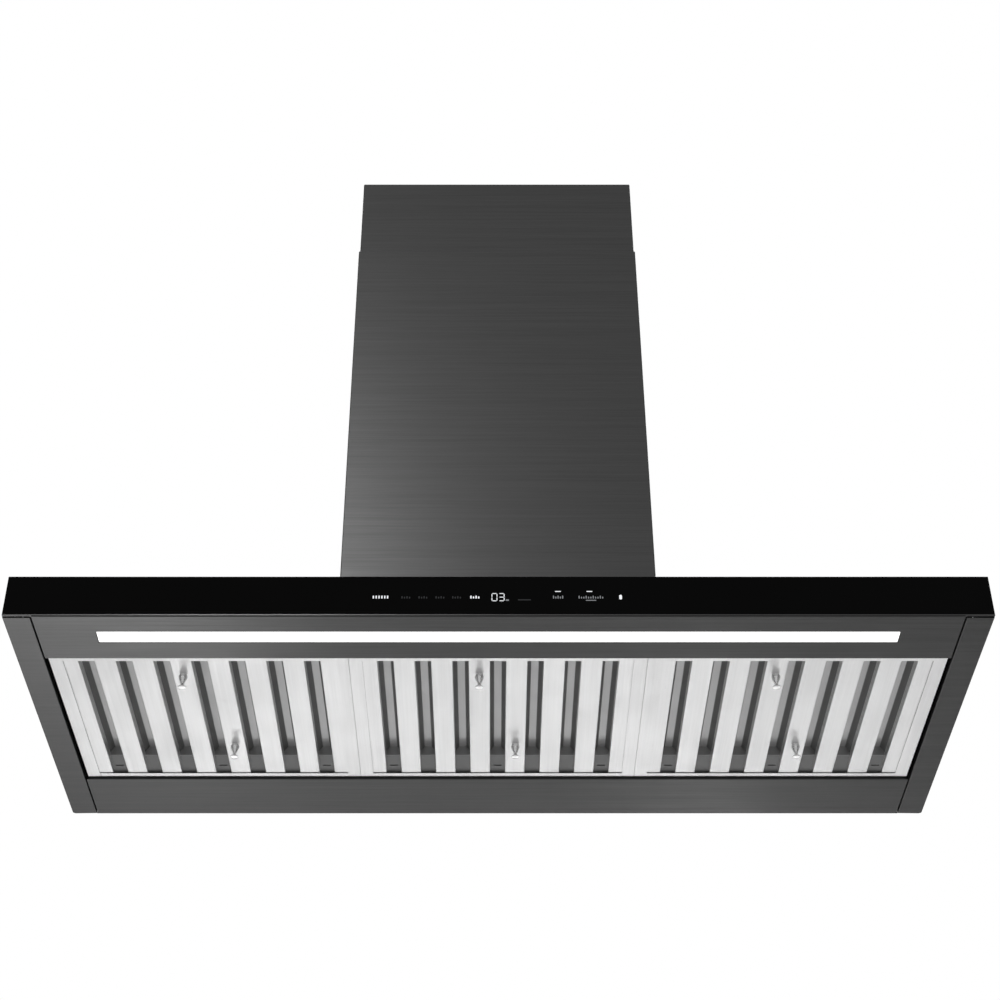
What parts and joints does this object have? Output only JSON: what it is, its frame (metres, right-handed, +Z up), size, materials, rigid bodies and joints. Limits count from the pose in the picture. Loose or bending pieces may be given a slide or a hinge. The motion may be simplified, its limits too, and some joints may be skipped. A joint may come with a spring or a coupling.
{
  "type": "island range hood",
  "caption": "Ceiling-hung island range hood: telescoping chimney, slab canopy with baffle filters, LED strip and touch fascia.",
  "frame": {"origin": "centre of the ceiling plane, on the chimney's axis, at the top face of the ceiling plate", "axes": "+X right along the canopy's width, -Y towards the front with the glass controls, +Z up"},
  "size_m": [1.216, 0.508, 0.8862],
  "materials": {
    "dark_brushed_steel": "dark graphite stainless, brushed along the width",
    "bright_brushed_steel": "bright stainless, fine brushing front to back",
    "galvanised_steel": "galvanised sheet",
    "black_glass": "polished black tempered glass",
    "lamp_diffuser": "opal diffuser, lit white",
    "circuit_board": "solder mask",
    "black_plastic": "moulded",
    "chrome": "polished",
    "spring_steel": "bright wire and strip",
    "motor_casting": "painted casting over steel laminations"
  },
  "bodies": {
    "ceiling_mount": {"ceiling_plate": "galvanised_steel", "upper_post_front_left": "galvanised_steel", "upper_post_front_right": "galvanised_steel", "upper_post_rear_left": "galvanised_steel", "upper_post_rear_right": "galvanised_steel", "upper_tie_front": "galvanised_steel", "upper_tie_rear": "galvanised_steel", "upper_chimney_cover": "dark_brushed_steel"},
    "hood": {"post_base_ring": "galvanised_steel", "lower_post_front_left": "galvanised_steel", "lower_post_front_right": "galvanised_steel", "lower_post_rear_left": "galvanised_steel", "lower_post_rear_right": "galvanised_steel", "lower_chimney_cover": "dark_brushed_steel", "canopy_top_panel": "dark_brushed_steel", "side_rail_left": "dark_brushed_steel", "side_rail_right": "dark_brushed_steel", "rear_wall": "dark_brushed_steel", "front_bottom_panel": "dark_brushed_steel", "rear_bottom_panel": "dark_brushed_steel", "front_glass": "black_glass", "glass_carrier": "bright_brushed_steel", "touch_board": "circuit_board", "control_case": "black_plastic", "main_board": "circuit_board", "led_diffuser": "lamp_diffuser", "led_housing": "bright_brushed_steel", "led_board": "circuit_board", "blower_box": "galvanised_steel", "scroll_housing": "galvanised_steel", "motor": "motor_casting", "motor_bracket": "galvanised_steel", "capacitor": "black_plastic", "duct_collar": "galvanised_steel", "damper_bar": "galvanised_steel"},
    "filter_left": {"filter_frame_left": "bright_brushed_steel", "lower_baffles_left": "bright_brushed_steel", "upper_baffles_left": "bright_brushed_steel", "grip_knob_left": "chrome", "latch_spring_left": "spring_steel"},
    "latch_left": {"latch_bolt_left": "spring_steel", "latch_knob_left": "chrome"},
    "filter_center": {"filter_frame_center": "bright_brushed_steel", "lower_baffles_center": "bright_brushed_steel", "upper_baffles_center": "bright_brushed_steel", "grip_knob_center": "chrome", "latch_spring_center": "spring_steel"},
    "latch_center": {"latch_bolt_center": "spring_steel", "latch_knob_center": "chrome"},
    "filter_right": {"filter_frame_right": "bright_brushed_steel", "lower_baffles_right": "bright_brushed_steel", "upper_baffles_right": "bright_brushed_steel", "grip_knob_right": "chrome", "latch_spring_right": "spring_steel"},
    "latch_right": {"latch_bolt_right": "spring_steel", "latch_knob_right": "chrome"},
    "impeller": {"impeller": "galvanised_steel", "motor_shaft": "chrome"},
    "damper_front": {"damper_flap_front": "galvanised_steel"},
    "damper_rear": {"damper_flap_rear": "galvanised_steel"}
  },
  "joints": [
    {"name": "height_adjust", "type": "slide", "parent": "ceiling_mount", "child": "hood", "axis": [0, 0, -1], "range_m": [-0.1, 0.25]},
    {"name": "filter_drop_left", "type": "hinge", "parent": "hood", "child": "filter_left", "pos_m": [-0.3797, 0.1533, -0.866], "axis": [1, 0, 0], "range_deg": [0, 70]},
    {"name": "latch_pull_left", "type": "slide", "parent": "filter_left", "child": "latch_left", "axis": [0, 1, 0], "range_m": [0, 0.008], "stiffness_N_per_m": 250, "springref_m": -0.006, "deforming": ["latch_spring_left"]},
    {"name": "filter_drop_center", "type": "hinge", "parent": "hood", "child": "filter_center", "pos_m": [0, 0.1533, -0.866], "axis": [1, 0, 0], "range_deg": [0, 70]},
    {"name": "latch_pull_center", "type": "slide", "parent": "filter_center", "child": "latch_center", "axis": [0, 1, 0], "range_m": [0, 0.008], "stiffness_N_per_m": 250, "springref_m": -0.006, "deforming": ["latch_spring_center"]},
    {"name": "filter_drop_right", "type": "hinge", "parent": "hood", "child": "filter_right", "pos_m": [0.3797, 0.1533, -0.866], "axis": [1, 0, 0], "range_deg": [0, 70]},
    {"name": "latch_pull_right", "type": "slide", "parent": "filter_right", "child": "latch_right", "axis": [0, 1, 0], "range_m": [0, 0.008], "stiffness_N_per_m": 250, "springref_m": -0.006, "deforming": ["latch_spring_right"]},
    {"name": "impeller_spin", "type": "hinge", "parent": "hood", "child": "impeller", "pos_m": [0, 0.005, -0.7], "axis": [1, 0, 0], "continuous": true},
    {"name": "damper_open_front", "type": "hinge", "parent": "hood", "child": "damper_front", "pos_m": [0, -0.005, -0.507], "axis": [-1, 0, 0], "range_deg": [0, 80]},
    {"name": "damper_open_rear", "type": "hinge", "parent": "hood", "child": "damper_rear", "pos_m": [0, 0.005, -0.507], "axis": [1, 0, 0], "range_deg": [0, 80]}
  ]
}
